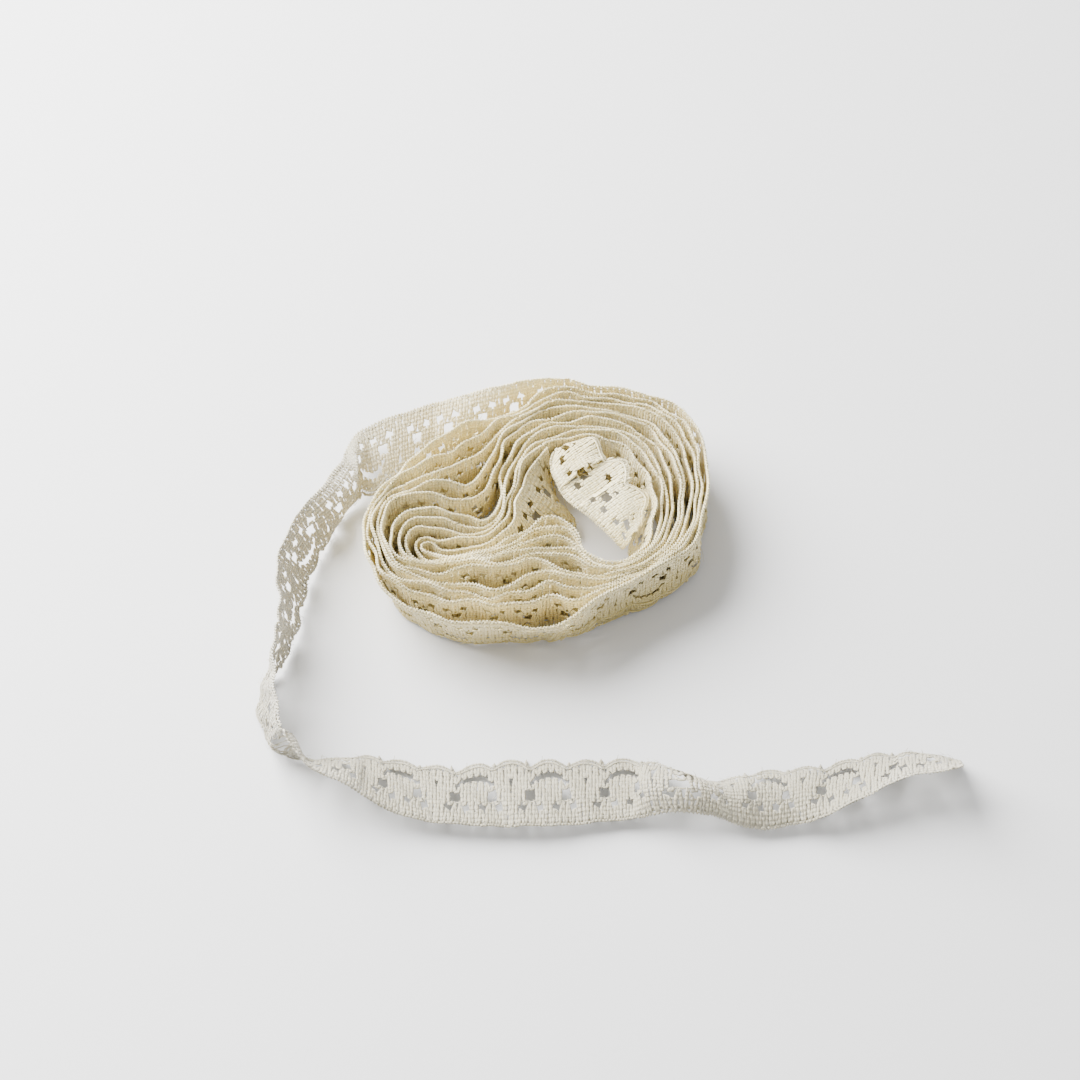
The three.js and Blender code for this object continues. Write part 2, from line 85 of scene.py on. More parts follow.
# %% The winding, row by row
WINDING_KEYS = ("ix", "iy", "ox", "oy", "t4", "t5", "t6", "t7", "t8", "sunk", "flare", "foot")
WINDING = [
    (10.5, 25.4, 11.5, 40.4, 0.44, 0.56, 0.67, 0.78, 0.89, 0, 0, 0),
    (7.5, 23.0, 5.1, 35.5, 0.46, 0.66, 0.75, 0.84, 0.93, 0, 0, 2),
    (5.6, 18.5, 0.7, 33.6, 0.38, 0.60, 0.70, 0.80, 0.90, 0, 0, 3.5),
    (4.3, 12.7, -3.5, 32.1, 0.33, 0.43, 0.57, 0.71, 0.86, 0, 0, 3),
    (2.8, 7.4, -7.1, 30.4, 0.20, 0.42, 0.56, 0.71, 0.86, 0, 0, 0),
    (0.1, 4.8, -10.1, 28.5, 0.20, 0.38, 0.53, 0.69, 0.86, 1, 1, 0),
    (-2.9, 4.5, -12.6, 26.6, 0.26, 0.45, 0.58, 0.72, 0.87, 2, 1, 0),
    (-6.3, 4.3, -15.2, 23.7, 0.39, 0.54, 0.65, 0.77, 0.89, 3, 2, 0),
    (-9.0, 5.4, -17.7, 20.2, 0.46, 0.66, 0.74, 0.83, 0.92, 4, 3, 0),
    (-11.1, 6.6, -21.0, 16.4, 0.53, 0.77, 0.82, 0.88, 0.94, 4, 3.5, 0),
    (-12.9, 6.2, -24.0, 9.9, 0.52, 0.72, 0.78, 0.85, 0.92, 4, 4, 0),
    (-13.0, 5.0, -23.5, 2.2, 0.54, 0.64, 0.71, 0.79, 0.88, 4, 4.5, 0),
    (-11.4, 3.7, -21.0, -4.8, 0.47, 0.56, 0.66, 0.76, 0.86, 4, 4.5, 0),
    (-8.7, 2.4, -15.9, -10.1, 0.16, 0.40, 0.51, 0.63, 0.75, 3, 4.5, 0),
    (-5.9, 2.0, -10.0, -12.8, 0.10, 0.30, 0.49, 0.60, 0.72, 2, 4.5, 0),
    (-2.9, 2.2, -4.5, -14.3, 0.10, 0.22, 0.47, 0.57, 0.71, 1, 4.5, 0),
    (0.1, 2.8, 0.4, -14.5, 0.22, 0.28, 0.56, 0.66, 0.75, 0, 4.5, 0),
    (3.0, 4.7, 4.4, -14.8, 0.24, 0.30, 0.53, 0.63, 0.75, 0, 5.2, 0),
    (6.0, 6.7, 8.3, -15.0, 0.26, 0.31, 0.47, 0.63, 0.73, 0, 5.8, 0),
    (9.4, 9.0, 11.9, -14.8, 0.33, 0.42, 0.47, 0.61, 0.73, 0, 5.6, 0),
    (12.7, 9.0, 15.0, -12.9, 0.38, 0.51, 0.57, 0.70, 0.80, 0, 3.8, 0),
    (15.3, 6.5, 18.1, -10.4, 0.39, 0.56, 0.65, 0.77, 0.88, 0, 2.2, 0),
    (17.5, 2.4, 21.8, -7.4, 0.42, 0.62, 0.71, 0.81, 0.91, 0, 1, 0),
    (21.0, -0.8, 26.3, -4.3, 0.43, 0.58, 0.68, 0.79, 0.90, 0, 0.5, 0),
    (25.3, -0.1, 31.9, -1.0, 0.44, 0.56, 0.67, 0.78, 0.89, 0, 0, 0),
    (28.9, 3.7, 36.9, 3.3, 0.44, 0.56, 0.67, 0.78, 0.89, 0, 0, 0),
    (30.7, 10.1, 40.0, 11.5, 0.44, 0.56, 0.67, 0.78, 0.89, 0, 0, 0),
    (30.5, 16.6, 40.7, 22.1, 0.44, 0.56, 0.67, 0.78, 0.89, 0, 0, 0),
    (27.8, 22.5, 39.1, 30.7, 0.44, 0.56, 0.67, 0.78, 0.89, 0, 0, 0),
    (24.5, 26.8, 34.1, 37.0, 0.44, 0.56, 0.67, 0.78, 0.89, 0, 0, 0),
    (20.5, 28.7, 26.5, 39.9, 0.44, 0.56, 0.67, 0.78, 0.89, 0, 0, 0),
    (15.5, 28.7, 18.7, 41.0, 0.44, 0.56, 0.67, 0.78, 0.89, 0, 0, 0),
]
winding = {key: np.array([row[i] for row in WINDING], float) for i, key in enumerate(WINDING_KEYS)}
print(len(WINDING), "sections round the winding")

# %% [markdown]
# The loose end and the short folded end twist and fold as they go, so they are given by their two
# edges instead. The columns of each section are x, y and z of the footing, which is the straight
# beaded edge, and then x, y and z of the hem, which is the scalloped one. Where the two come
# closer than the lace is wide, the lace bulges.

# %% The loose end and the folded end, row by row
LOOSE_END = [
    (15.0, 42.6, 14.0, 15.0, 42.7, 0.2), (10.0, 42.9, 13.8, 10.0, 42.2, 0.2),
    (4.5, 42.8, 12.8, 4.0, 38.7, 0.4), (-1.5, 42.3, 11.4, -2.0, 35.4, 0.6),
    (-7.6, 41.7, 9.2, -8.0, 32.6, 0.6), (-13.6, 41.1, 7.0, -13.8, 29.4, 0.6),
    (-21.4, 38.9, 4.5, -20.2, 26.2, 0.6), (-26.9, 36.0, 3.0, -24.2, 23.8, 0.6),
    (-29.7, 31.0, 4.0, -27.9, 21.4, 0.6), (-31.4, 23.5, 8.5, -30.0, 18.9, 0.6),
    (-33.6, 16.6, 12.0, -31.4, 15.1, 0.6), (-36.6, 10.7, 13.2, -32.8, 10.4, 0.6),
    (-39.2, 3.4, 13.5, -35.0, 3.4, 0.6), (-39.7, -3.8, 13.5, -36.0, -4.1, 0.6),
    (-38.7, -8.6, 13.7, -36.9, -8.8, 0.6), (-38.8, -14.7, 14.0, -39.2, -15.2, 0.6),
    (-39.3, -19.2, 13.9, -42.2, -19.6, 0.6), (-38.9, -23.9, 13.7, -43.2, -24.0, 0.6),
    (-38.3, -29.2, 13.5, -41.6, -29.6, 0.6), (-37.3, -34.0, 13.0, -38.8, -33.6, 0.6),
    (-35.6, -38.3, 12.6, -36.2, -35.0, 0.6), (-33.0, -41.9, 11.8, -33.6, -35.4, 0.6),
    (-29.0, -43.9, 10.0, -29.8, -35.0, 0.6), (-24.5, -45.4, 7.4, -24.8, -34.5, 0.6),
    (-19.4, -47.5, 4.6, -19.7, -34.5, 0.6), (-14.0, -48.9, 3.1, -14.4, -35.5, 0.6),
    (-6.0, -49.7, 2.3, -6.3, -36.5, 0.6), (1.5, -49.5, 1.0, 1.2, -35.4, 0.6),
    (9.2, -49.2, 0.6, 9.2, -35.1, 0.6), (18.5, -48.4, 0.6, 18.6, -35.1, 0.6),
    (26.5, -47.9, 1.3, 26.6, -35.0, 0.9), (31.1, -47.5, 2.6, 30.6, -37.0, 2.6),
    (34.4, -47.9, 3.3, 33.4, -38.8, 3.0), (38.0, -48.1, 2.6, 36.6, -40.0, 1.8),
    (41.4, -48.5, 1.2, 40.6, -39.9, 0.8), (48.0, -49.6, 0.6, 48.4, -37.6, 0.6),
    (54.0, -49.2, 1.0, 54.8, -36.9, 0.6), (60.4, -48.7, 3.6, 61.6, -36.0, 0.6),
    (66.8, -46.4, 5.9, 68.8, -34.0, 0.6), (74.2, -43.8, 8.4, 75.8, -33.7, 0.6),
    (83.8, -42.8, 11.2, 85.0, -35.0, 0.6),
]
FOLDED_END = [
    (12.4, 25.4, 13.8, 14.4, 26.6, 2.0), (11.0, 23.0, 14.2, 17.2, 29.2, 10.5),
    (11.1, 20.2, 13.6, 19.6, 28.6, 13.6), (12.2, 17.2, 13.3, 21.4, 24.6, 13.6),
    (13.9, 14.1, 12.8, 25.4, 23.0, 13.8), (17.3, 11.6, 12.0, 26.6, 18.6, 13.0),
    (20.8, 8.6, 10.8, 29.6, 14.8, 12.8), (24.6, 5.2, 9.2, 28.2, 9.4, 11.4),
]
print(len(LOOSE_END), "sections of the loose end,", len(FOLDED_END), "of the folded end")

# %% [markdown]
# ## A smooth run through the rows
#
# Rows are far apart, and lace bends smoothly. A centripetal curve passes through every row and
# doesn't overshoot where rows are close together, which a plain spline does.

# %% A smooth curve through points
def smooth_through(points, shares):
    points = np.asarray(points, float)
    spans = len(points) - 1
    place = np.asarray(shares, float) * spans
    first = np.clip(np.floor(place).astype(int), 0, spans - 1)
    rest = (place - first)[:, None]
    before, after = 2 * points[:1] - points[1:2], 2 * points[-1:] - points[-2:-1]
    padded = np.vstack((before, points, after))
    a, b, c, d = [padded[first + step] for step in range(4)]
    ab, bc, cd = [np.sqrt(np.maximum(np.linalg.norm(q - p, axis=1), TINY))[:, None]
                  for p, q in ((a, b), (b, c), (c, d))]
    leave = ((b - a) / ab - (c - a) / (ab + bc) + (c - b) / bc) * bc
    arrive = ((c - b) / bc - (d - b) / (bc + cd) + (d - c) / cd) * bc
    bend = -3 * b + 3 * c - 2 * leave - arrive
    twist = 2 * b - 2 * c + leave + arrive
    return b + leave * rest + bend * rest ** 2 + twist * rest ** 3


def running_length(points):
    steps = np.linalg.norm(np.diff(points, axis=0), axis=1)
    return np.concatenate([[0], np.cumsum(steps)])


print("smooth_through is ready")

# %% [markdown]
# ## Soft lace is never even
#
# Each turn stands a little higher or lower than its neighbour and wavers as it goes. A cloth
# simulation would find waves too, but not the ones that this roll has settled into. A sum of a
# few sine waves with seeded lengths and starts gives a slow, smooth unevenness that is the same
# on each run. The second helper is a step without corners, for what fades along the strip.

# %% A slow, smooth unevenness
WAVES = 4
LENGTH_SPREAD = (0.6, 1.7)
USUAL_PEAK = 2.4


def waver(run, wavelength, seed):
    dice = np.random.default_rng(seed)
    total = np.zeros_like(run)
    for wave in range(WAVES):
        length = wavelength * dice.uniform(*LENGTH_SPREAD)
        total += np.sin(2 * math.pi * run / length + dice.uniform(0, 2 * math.pi))
    return total / USUAL_PEAK


def soft_step(value, low, high):
    share = np.clip((value - low) / np.maximum(high - low, TINY), 0, 1)
    return share * share * (3 - 2 * share)


print("waver from", round(float(waver(np.arange(200.0), 9, 1).min()), 2))

# %% [markdown]
# ## The guide bands
#
# A guide is a plain band of small squares that has the place of the lace at each point: how far
# along the strip, how far across it, and which way the lace faces there. It is never seen. The
# yarn is laid on it, as a pattern is laid on a body. The band hangs over both edges a little, so
# that beads and thorns that stick out of the lace still find a place on it. Turns 0 to 3 stand
# evenly inside turn 4, and turn 9 is the outermost.

# %% The place of each turn
OVERHANG = 0.08
ACROSS = np.linspace(-OVERHANG, 1 + OVERHANG, 9)
rows_in_turn = len(WINDING)
row_share = [winding["t4"] * turn / 4 for turn in range(4)]
row_share += [winding[key] for key in ("t4", "t5", "t6", "t7", "t8")]
row_share.append(np.ones(rows_in_turn))
turn_count = len(row_share)
print(turn_count, "turns of", rows_in_turn, "rows")

# %% [markdown]
# The turns don't stand at even distances. They cling together in bundles of about three with a
# wider gap between bundles, so each turn is pulled towards its bundle. Only in front the table
# alone says where they stand, and the pull fades out there. A bundle shifts as it goes round, or
# the same gap would run all the way round like a groove.
#
# Two more things are hump-shaped along the rows. The innermost turn slopes across the core at the
# back and at the right, with its foot reaching in and off the table, and the outermost turn's hem
# rises off the table at the front right.

# %% Bundles, the sloped foot and the raised hem
BUNDLES = 3.3
ROW = np.arange(rows_in_turn)


def hump(height, middle, spread):
    return height * np.exp(-((ROW - middle) / spread) ** 2)


BUNDLE_PULL = 0.6 - hump(0.6, middle=15, spread=4.5)
SLOPED_FOOT = hump(8.0, middle=2, spread=2.1) + hump(5.0, middle=26, spread=2.2)
RAISED_HEM = hump(3.4, middle=22.5, spread=2.6)


def bundled(share):
    turned = 2 * math.pi * (BUNDLES * share + ROW / rows_in_turn)
    pull = BUNDLE_PULL / (2 * math.pi * BUNDLES)
    return share + pull * np.sin(turned) * (4 * share * (1 - share)) ** 0.5


placed_share = np.array([bundled(share) for share in row_share])
gaps = np.diff(placed_share, axis=0)
nearest = np.minimum(np.vstack([gaps[:1], gaps]), np.vstack([gaps, gaps[-1:]]))
print("a turn's nearest neighbour is", round(float(nearest.min()), 3), "of the way off at least")

# %% [markdown]
# All turns then go into one long chain of rows, so that the strip is smooth from turn to turn. The
# lean of the innermost and outermost turn dies away quickly towards the turns in between. One
# last row leads the strip off the roll, to where the loose end takes over.

# %% All the turns in one chain
LEAN_POWER = 4
FOOT_RISE = 0.3
LEAVING = {"x": 15.1, "y": 42.4, "lean": 0.0, "foot": 0.0, "top": LACE_WIDTH, "room": 1.0,
           "lift": 0.0}


def turn_rows(turn):
    share, placed = row_share[turn], placed_share[turn]
    width = np.hypot(winding["ox"] - winding["ix"], winding["oy"] - winding["iy"])
    foot = winding["foot"] + (SLOPED_FOOT if turn == 0 else 0)
    lifts = {0: FOOT_RISE * SLOPED_FOOT, turn_count - 1: RAISED_HEM}
    return {
        "x": winding["ix"] + (winding["ox"] - winding["ix"]) * placed,
        "y": winding["iy"] + (winding["oy"] - winding["iy"]) * placed,
        "lean": -winding["flare"] * share ** LEAN_POWER,
        "foot": -foot * (1 - share) ** LEAN_POWER,
        "top": LACE_WIDTH - winding["sunk"] * (1 - soft_step(share, 0, winding["t5"])),
        "room": nearest[turn] * width,
        "lift": lifts.get(turn, np.zeros(rows_in_turn)),
    }


turns = [turn_rows(turn) for turn in range(turn_count)]
chain = {key: np.concatenate([turn[key] for turn in turns] + [[LEAVING[key]]]) for key in LEAVING}
print("rows in the whole winding:", len(chain["x"]))

# %% [markdown]
# Between the rows, the top and the foot of a turn sway by themselves, its middle bellies out, and
# it stands higher or lower. How far it sways depends on the room to its neighbour. All of this
# dies away where the outermost turn leaves the roll, or a step would show at the loose end.

# %% The guide of a run of turns
GUIDE_STEP = 0.7
SAMPLES_A_ROW, SAMPLES_A_SECTION = 12, 20
LOWEST = 0.2
LETTING_GO = 15
SWAY_OF_ROOM, MOST_SWAY = 0.4, 0.55
SWAY, BELLY, RISE = 0.7, 0.8, 0.6


def winding_guide(first_row, last_row):
    table = np.stack([chain["x"], chain["y"]], axis=1)
    spine = smooth_through(table, np.linspace(0, 1, len(table) * SAMPLES_A_ROW))
    whole = running_length(spine)
    share = np.linspace(0, 1, len(whole))
    begin, end = [np.interp(row / (len(table) - 1), share, whole) for row in (first_row, last_row)]
    run = np.linspace(begin, end, int((end - begin) / GUIDE_STEP))
    places = np.interp(run, whole, share)
    here = smooth_through(table, places)
    rest = {key: np.interp(places * (len(table) - 1), np.arange(len(table)), chain[key])
            for key in ("lean", "foot", "top", "room", "lift")}
    ahead = np.gradient(here, axis=0)
    ahead /= np.linalg.norm(ahead, axis=1)[:, None]
    outward = np.stack([ahead[:, 1], -ahead[:, 0]], axis=1)
    free = soft_step(whole[-1] - run, 0, LETTING_GO)
    reach = np.minimum(SWAY_OF_ROOM * rest["room"], MOST_SWAY) * free
    rows = []
    for share_down in ACROSS:
        low = np.clip(share_down, 0, 1)
        sway = waver(run, 11, seed=3) * (1 - low) + waver(run, 8, seed=4) * low
        belly = 4 * low * (1 - low) * waver(run, 23, seed=5)
        side = (rest["lean"] + rest["foot"]) * low + reach * (SWAY * sway + BELLY * belly)
        rise = RISE * free * waver(run, 17, seed=6) * (1 - low)
        height = rest["top"] * (1 - share_down) + rise + rest["lift"] * low
        place = here + outward * side[:, None]
        rows.append(np.column_stack([place, np.maximum(height, LOWEST)]))
    return np.stack(rows, axis=1), end - begin


guide, length = winding_guide(0, rows_in_turn - 1)
print("innermost turn:", round(length), "mm long")

# %% [markdown]
# Between two given edges, lace that has too little room bulges upwards like a shallow arch. Where
# it lies flat it still isn't a plane: it bows up in the middle, and its footing is raised in slow
# waves and pushed forward, so that light and shadow get under it. Where it stands, it keeps still.

# %% The guide of a strip with two given edges
WIDTH_IN_HAND = 0.93
ARCH_SLACK = 3 / 8
RIPPLE, RIPPLE_LENGTH = 0.25, 9
LIFT_CHANGE, LIFT_LENGTH, PUSHED = 0.4, 40, 0.4


def bulge_across(footing, hem, share, upward, most):
    straight = np.linalg.norm(hem - footing, axis=1)
    slack = np.maximum(WIDTH_IN_HAND * LACE_WIDTH / straight - 1, 0)
    rise = np.minimum(straight * np.sqrt(ARCH_SLACK * slack), most)
    middle = footing + (hem - footing) * share
    return middle + upward * (4 * rise * share * (1 - share))[:, None]


def two_edges(table, shares):
    return smooth_through(table[:, :3], shares), smooth_through(table[:, 3:], shares)


def strip_guide(table, most_bulge, seed, lower=0.0, bow=0.0, lifted=0.0):
    table = np.array(table, float)
    shares = np.linspace(0, 1, len(table) * SAMPLES_A_SECTION)
    footing, hem = two_edges(table, shares)
    whole = running_length((footing + hem) / 2)
    run = np.linspace(0, whole[-1], int(whole[-1] / GUIDE_STEP))
    footing, hem = two_edges(table, np.interp(run, whole, shares))
    along = np.gradient(footing, axis=0) + np.gradient(hem, axis=0)
    upward = np.cross(along, footing - hem)
    upward /= np.linalg.norm(upward, axis=1)[:, None]
    upward *= np.where(upward[:, 2:] < 0, -1, 1)
    forward = (footing - hem) / np.linalg.norm(footing - hem, axis=1)[:, None]
    flatness = 1 - np.abs(footing[:, 2] - hem[:, 2]) / LACE_WIDTH
    lift_wave = 1 + LIFT_CHANGE * waver(run, LIFT_LENGTH, seed + 1)
    rows = []
    for share in ACROSS:
        place = bulge_across(footing, hem, share, upward, most_bulge)
        curve = bow * flatness * 4 * max(share * (1 - share), 0)
        lift = lifted * flatness ** 2 * (1 - share) * lift_wave
        ripple = RIPPLE * waver(run + RIPPLE_LENGTH * share, RIPPLE_LENGTH, seed)
        place = place + upward * (ripple + curve + lift)[:, None]
        place = place + forward * (PUSHED * lift)[:, None]
        place[:, 2] -= lower * (1 - np.clip(place[:, 2] / LACE_WIDTH, 0, 1))
        place[:, 2] = np.maximum(place[:, 2], LOWEST)
        rows.append(place)
    return np.stack(rows, axis=1), whole[-1]


loose_guide, loose_length = strip_guide(LOOSE_END, 3, seed=11, lower=0.3, bow=0.9, lifted=2.0)
folded_guide, folded_length = strip_guide(FOLDED_END, 1.2, seed=12)
print("loose end:", round(loose_length), "mm, folded end:", round(folded_length), "mm long")

# %% [markdown]
# The guide is stored as a mesh with two attributes: its flat map, from 0 to 1 along and across the
# strip, which the node tree searches, and the direction in which the lace faces.

# %% The guide as a mesh with its own flat map
def guide_object(name, places):
    along_count, across_count = places.shape[:2]
    index = np.arange(along_count * across_count).reshape(along_count, across_count)
    corners = (index[:-1, :-1], index[1:, :-1], index[1:, 1:], index[:-1, 1:])
    faces = np.stack([corner.ravel() for corner in corners], axis=1)
    mesh = bpy.data.meshes.new(name)
    mesh.from_pydata((places.reshape(-1, 3) * MM).tolist(), [], faces.tolist())
    facing = np.cross(np.gradient(places, axis=0), np.gradient(places, axis=1))
    facing /= np.maximum(np.linalg.norm(facing, axis=2)[:, :, None], TINY)
    flat = np.zeros(places.shape)
    flat[:, :, 0] = np.linspace(0, 1, along_count)[:, None]
    flat[:, :, 1] = np.linspace(0, 1, across_count)[None, :]
    for label, values in (("flat", flat), ("facing", facing)):
        attribute = mesh.attributes.new(label, "FLOAT_VECTOR", "POINT")
        attribute.data.foreach_set("vector", values.ravel())
    guide = bpy.data.objects.new(name, mesh)
    bpy.context.scene.collection.objects.link(guide)
    return guide


print("guide_object is ready")

# %% [markdown]
# ## One repeat of the lace, drawn flat
#
# This lace is knitted from yarn that runs up and down across the strip in ribs, side by side. The
# pattern is where the yarn turns back and leaves a gap. So the repeat is not drawn loop by loop: a
# short table lists its gaps, and the rule is that each rib runs from edge to edge and turns back
# at every gap. Each gap is there twice, at u and at -u from the middle of the repeat. All gaps
# have squarish ends, and the arch also rises with the scallop. The fine repeat has no arch,
# because the folded end's face is closed there.

# %% The gaps of one repeat
GAPS = [
    {"at": "footing_gap", "u": 1.5, "v": 3.6, "wide": 1.5, "tall": 1.5},
    {"at": "footing_gap_outer", "u": 4.5, "v": 3.6, "wide": 1.6, "tall": 1.5},
    {"at": "window", "u": 3.375, "v": 6.1, "wide": 2.3, "tall": 2.2},
    {"at": "pinhole", "u": 3.0, "v": 8.5, "wide": 1.6, "tall": 0.9},
    {"at": "scallop_eye", "u": 6.75, "v": 9.2, "wide": 1.4, "tall": 1.3},
    {"at": "arch", "u": 0.0, "v": 10.4, "wide": 5.6, "tall": 1.5},
]
ARCH_RISE = 1.1
BORDER = 1.0
SCALLOP_POWER = 0.7
SQUARENESS = 6
FOOT_MARGIN = 0.35
SHORTEST_RUN = 0.45


def hem_at(u):
    wave = np.abs(np.cos(2 * math.pi * u / REPEAT)) ** SCALLOP_POWER
    return LACE_WIDTH - SCALLOP_DEPTH * (1 - wave)


def gaps_at(u, arches):
    found = []
    for gap in GAPS:
        if gap["at"] == "arch" and not arches:
            continue
        for side in (-1, 1):
            away = (u - side * gap["u"] + REPEAT / 2) % REPEAT - REPEAT / 2
            reach = abs(2 * away / gap["wide"])
            if reach < 1:
                half = gap["tall"] / 2 * (1 - reach ** SQUARENESS) ** 0.5
                middle = gap["v"]
                if gap["at"] == "arch":
                    middle -= ARCH_RISE * reach ** 2
                found.append((middle - half, middle + half))
    return sorted(set(found))


def yarn_runs(u, arches):
    runs = []
    low = FOOT_MARGIN
    for start, end in gaps_at(u, arches) + [(hem_at(u) - BORDER, LACE_WIDTH)]:
        if start - low > SHORTEST_RUN:
            runs.append((low, start))
        low = max(low, end)
    return runs


print("yarn beside the middle of a scallop:", yarn_runs(0.4, True))

# %% [markdown]
# Neighbouring ribs join at their turns into one zigzag yarn: a rib goes on with the yarn beside it
# that shares most of its height. Along a rib the yarn is thin and thick by turns, a stitch at a
# time, which gives the face its small grain.

# %% The zigzag yarns
STITCH = 0.85
SLANT = 0.18
THIN, THICK = 0.8, 1.2
OFF_BY_THICKNESS = 0.05
MUST_SHARE = 0.5


def zigzag_yarns(ribs, arches):
    pitch = REPEAT / ribs
    open_yarns = []
    finished = []
    for rib in range(ribs):
        u = -REPEAT / 2 + (rib + 0.5) * pitch
        carried = []
        for low, high in yarn_runs(u, arches):
            best = None
            for yarn in open_yarns:
                shared = min(high, yarn["high"]) - max(low, yarn["low"])
                if shared > MUST_SHARE * (high - low) and (best is None or shared > best[0]):
                    best = (shared, yarn)
            if best:
                yarn = best[1]
                open_yarns.remove(yarn)
            else:
                yarn = {"points": [], "up": rib % 2 == 0}
            count = max(int(round((high - low) / STITCH)), 1)
            levels = np.linspace(low, high, count + 1)
            if not yarn["up"]:
                levels = levels[::-1]
            slant = np.linspace(-SLANT, SLANT, count + 1) * pitch
            plump = np.where(np.arange(count + 1) % 2, THICK, THIN)
            yarn["points"] += [(u + aside, level, OFF_BY_THICKNESS * thick, thick)
                               for aside, level, thick in zip(slant, levels, plump)]
            yarn.update(low=low, high=high, up=not yarn["up"])
            carried.append(yarn)
        finished += open_yarns
        open_yarns = carried
    return [yarn["points"] for yarn in finished + open_yarns]


print(len(zigzag_yarns(RIBS, True)), "zigzag yarns in a repeat")

# %% [markdown]
# Other yarns run along the strip. Some cross the ribs and hold them together. At the footing a
# beaded yarn swings up and down over a straight cord. At the hem two cords follow the scallops,
# with ties that go back and forth between them, and small thorns of yarn stand where two scallops
# meet. A few stray fibres stand off the lace. Each point is (along, across, off the face,
# thickness as a share of the yarn's), in millimetres but for the last.

# %% The yarns along the strip
CROSSING_LEVELS = (1.2, 2.5, 4.9, 7.4, 9.4, 12.2)
OVER, UNDER, CROSSING_THICKNESS = 0.08, -0.16, 0.55
THORNS = ((-3.9, 1.2), (3.8, 0.8))
THORN_SHAPE = ((-0.3, 0.0, 0.0), (-0.15, 0.7, 0.2), (0.0, 1.3, 0.1), (0.15, 0.7, -0.1),
               (0.3, 0.0, 0.0))


def crossing_yarns(ribs, arches):
    yarns = []
    for level in CROSSING_LEVELS:
        points = []
        for stitch in range(ribs + 1):
            u = -REPEAT / 2 + stitch * REPEAT / ribs
            inside = any(low < level < high for low, high in gaps_at(u, arches))
            if inside or level > hem_at(u) - BORDER:
                yarns.append(points)
                points = []
            else:
                off = OVER if stitch % 2 else UNDER
                points.append((u, level, off, CROSSING_THICKNESS))
        yarns.append(points)
    return [points for points in yarns if len(points) > 1]


def thorn(u, tall):
    foot = float(hem_at(u)) - 0.4
    return [(u + aside, foot + tall * rise, off, 0.9) for aside, rise, off in THORN_SHAPE]


def edge_yarns(ribs):
    halves = np.linspace(-REPEAT / 2, REPEAT / 2, ribs * 2 + 1)
    wholes = halves[::2]
    beads = [(u, 0.15 + 0.25 * (i % 2), 0.22 * (-1) ** i, 0.8) for i, u in enumerate(halves)]
    cord = [(u, 0.75, -0.2, 0.62) for u in wholes]
    inner = [(u, hem_at(u) - BORDER + 0.1, 0.18, 0.7) for u in wholes]
    outer = [(u, hem_at(u) - 0.1, 0.0, 0.6 + 0.3 * (i % 2)) for i, u in enumerate(wholes)]
    ties = [(u, hem_at(u) - (BORDER if i % 2 else 0.0), 0.1, 0.8) for i, u in enumerate(halves)]
    return [beads, cord, inner, outer, ties] + [thorn(u, tall) for u, tall in THORNS]


print(len(crossing_yarns(RIBS, True)), "crossing yarns and", len(edge_yarns(RIBS)), "edge yarns")

# %% Stray fibres
STRAY_FIBRES = 14
FIBRE_STEP = 1.2


def stray_fibres(count):
    dice = np.random.default_rng(7)
    fibres = []
    for fibre in range(count):
        u = dice.uniform(-REPEAT / 2, REPEAT / 2)
        v = hem_at(u) - dice.uniform(0, 1.5) if fibre % 2 else dice.uniform(0, 12)
        way = dice.uniform(-FIBRE_STEP, FIBRE_STEP, (3, 2)).cumsum(axis=0)
        side = dice.choice((-1, 1))
        fibres.append([(u, v, 0.0, 0.2)] + [(u + du, v + dv, side * (0.3 + 0.25 * i), 0.15)
                                            for i, (du, dv) in enumerate(way)])
    return fibres


print(len(stray_fibres(STRAY_FIBRES)), "stray fibres in a repeat")

# %% [markdown]
# The drawing becomes a curve object with one straight-lined spline for each yarn. A spline's point
# radius holds how plump the yarn is there. A mesh could hold the same lines, but no thickness.

# %% The repeat as a curve object
def repeat_curve(name, ribs, arches):
    curve = bpy.data.curves.new(name, "CURVE")
    curve.dimensions = "3D"
    yarns = zigzag_yarns(ribs, arches) + crossing_yarns(ribs, arches) + edge_yarns(ribs)
    for points in yarns + stray_fibres(STRAY_FIBRES):
        spline = curve.splines.new("POLY")
        spline.points.add(len(points) - 1)
        for point, (u, v, off, plump) in zip(spline.points, points):
            point.co = (u * MM, v * MM, off * MM, 1)
            point.radius = plump
    repeat = bpy.data.objects.new(name, curve)
    bpy.context.scene.collection.objects.link(repeat)
    return repeat


flat_repeat = repeat_curve("flat_repeat", RIBS, True)
fine_repeat = repeat_curve("fine_repeat", FINE_RIBS, False)
print(len(flat_repeat.data.splines), "splines in the flat repeat")

# %% [markdown]
# ## Writing node trees as sums
#
# A node tree is a picture of a formula. The small class below keeps the formula readable: it
# wraps one output socket, and adding or multiplying wrapped sockets adds the Math nodes.

# %% A workbench for node trees
class Wire:
    def __init__(self, bench, socket):
        self.bench = bench
        self.socket = socket

    def _maths(self, operation, *terms):
        return self.bench.node("ShaderNodeMath", {"operation": operation}, dict(enumerate(terms)))

    def __add__(self, other):
        return self._maths("ADD", self, other)

    def __radd__(self, other):
        return self._maths("ADD", other, self)

    def __sub__(self, other):
        return self._maths("SUBTRACT", self, other)

    def __rsub__(self, other):
        return self._maths("SUBTRACT", other, self)

    def __mul__(self, other):
        return self._maths("MULTIPLY", self, other)

    def __rmul__(self, other):
        return self._maths("MULTIPLY", other, self)

    def __truediv__(self, other):
        return self._maths("DIVIDE", self, other)

    def __gt__(self, other):
        return self._maths("GREATER_THAN", self, other)

    def __lt__(self, other):
        return self._maths("LESS_THAN", self, other)


